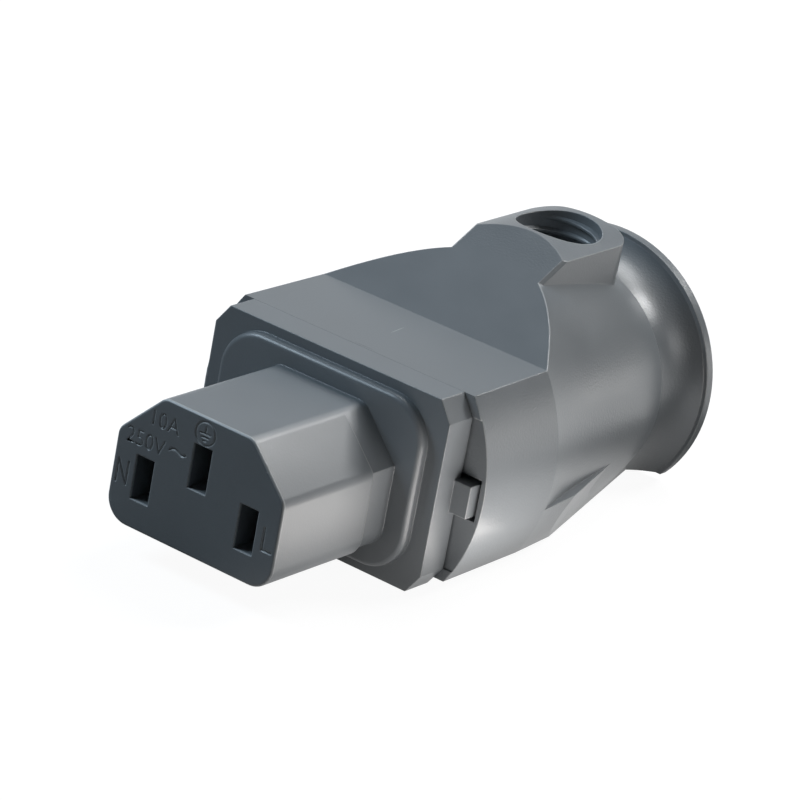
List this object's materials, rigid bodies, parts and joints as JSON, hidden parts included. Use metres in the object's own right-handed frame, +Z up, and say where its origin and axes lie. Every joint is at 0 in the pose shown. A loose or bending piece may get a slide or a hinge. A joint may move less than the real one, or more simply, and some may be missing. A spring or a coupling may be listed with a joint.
{
  "type": "rewireable appliance inlet connector",
  "caption": "Rewireable appliance connector with a three-slot nose, snap-in contact carrier, tapering rear housing, flared cable mouth and a screw-down cord clamp.",
  "frame": {"origin": "centre of the bounding box in X and Y, on the plane of its lowest face", "axes": "+Z up towards the earth slot and the clamp boss; -Y is the mating direction, out of the nose; +X is the line-contact side"},
  "size_m": [0.038, 0.0728, 0.0297],
  "materials": {
    "insert_plastic": "slate grey moulded plastic, fine satin",
    "housing_plastic": "slate grey moulded plastic, satin with a fine spark-eroded grain",
    "retainer_plastic": "slate grey moulded plastic, unpolished",
    "contact_brass": "rolled and folded sheet",
    "terminal_brass": "machined",
    "plate_steel": "zinc plated",
    "screw_steel": "zinc plated"
  },
  "bodies": {
    "shell": {"rear_housing": "housing_plastic", "front_insert": "insert_plastic", "contact_retainer": "retainer_plastic", "line_contact": "contact_brass", "neutral_contact": "contact_brass", "earth_contact": "contact_brass", "line_terminal_block": "terminal_brass", "neutral_terminal_block": "terminal_brass", "earth_terminal_block": "terminal_brass"},
    "line_plate": {"line_pressure_plate": "plate_steel"},
    "neutral_plate": {"neutral_pressure_plate": "plate_steel"},
    "earth_plate": {"earth_pressure_plate": "plate_steel"},
    "line_screw": {"line_terminal_screw": "screw_steel"},
    "neutral_screw": {"neutral_terminal_screw": "screw_steel"},
    "earth_screw": {"earth_terminal_screw": "screw_steel"},
    "clamp_pad": {"cord_clamp_pad": "retainer_plastic"},
    "clamp_screw": {"cord_clamp_screw": "housing_plastic"}
  },
  "joints": [
    {"name": "line_plate_slide", "type": "slide", "parent": "shell", "child": "line_plate", "axis": [0, 0, -1], "range_m": [0, 0.0015]},
    {"name": "neutral_plate_slide", "type": "slide", "parent": "shell", "child": "neutral_plate", "axis": [0, 0, -1], "range_m": [0, 0.0015]},
    {"name": "earth_plate_slide", "type": "slide", "parent": "shell", "child": "earth_plate", "axis": [0, 0, -1], "range_m": [0, 0.0015]},
    {"name": "line_screw_turn", "type": "hinge", "parent": "line_plate", "child": "line_screw", "pos_m": [0.007, -0.00275, 0.014], "axis": [0, 0, -1], "range_deg": [0, 1080]},
    {"name": "neutral_screw_turn", "type": "hinge", "parent": "neutral_plate", "child": "neutral_screw", "pos_m": [-0.007, -0.00275, 0.014], "axis": [0, 0, -1], "range_deg": [0, 1080]},
    {"name": "earth_screw_turn", "type": "hinge", "parent": "earth_plate", "child": "earth_screw", "pos_m": [0, -0.00275, 0.018], "axis": [0, 0, -1], "range_deg": [0, 1080]},
    {"name": "clamp_pad_slide", "type": "slide", "parent": "shell", "child": "clamp_pad", "axis": [0, 0, -1], "range_m": [0, 0.004]},
    {"name": "clamp_screw_turn", "type": "hinge", "parent": "clamp_pad", "child": "clamp_screw", "pos_m": [0, 0.0226, 0.0209], "axis": [0, 0, -1], "range_deg": [0, 960]}
  ],
  "couplings": [
    {"joint": "line_screw_turn", "follows": "line_plate_slide", "rad_per_m": 12566},
    {"joint": "neutral_screw_turn", "follows": "neutral_plate_slide", "rad_per_m": 12566},
    {"joint": "earth_screw_turn", "follows": "earth_plate_slide", "rad_per_m": 12566},
    {"joint": "clamp_screw_turn", "follows": "clamp_pad_slide", "rad_per_m": 4188.8}
  ]
}
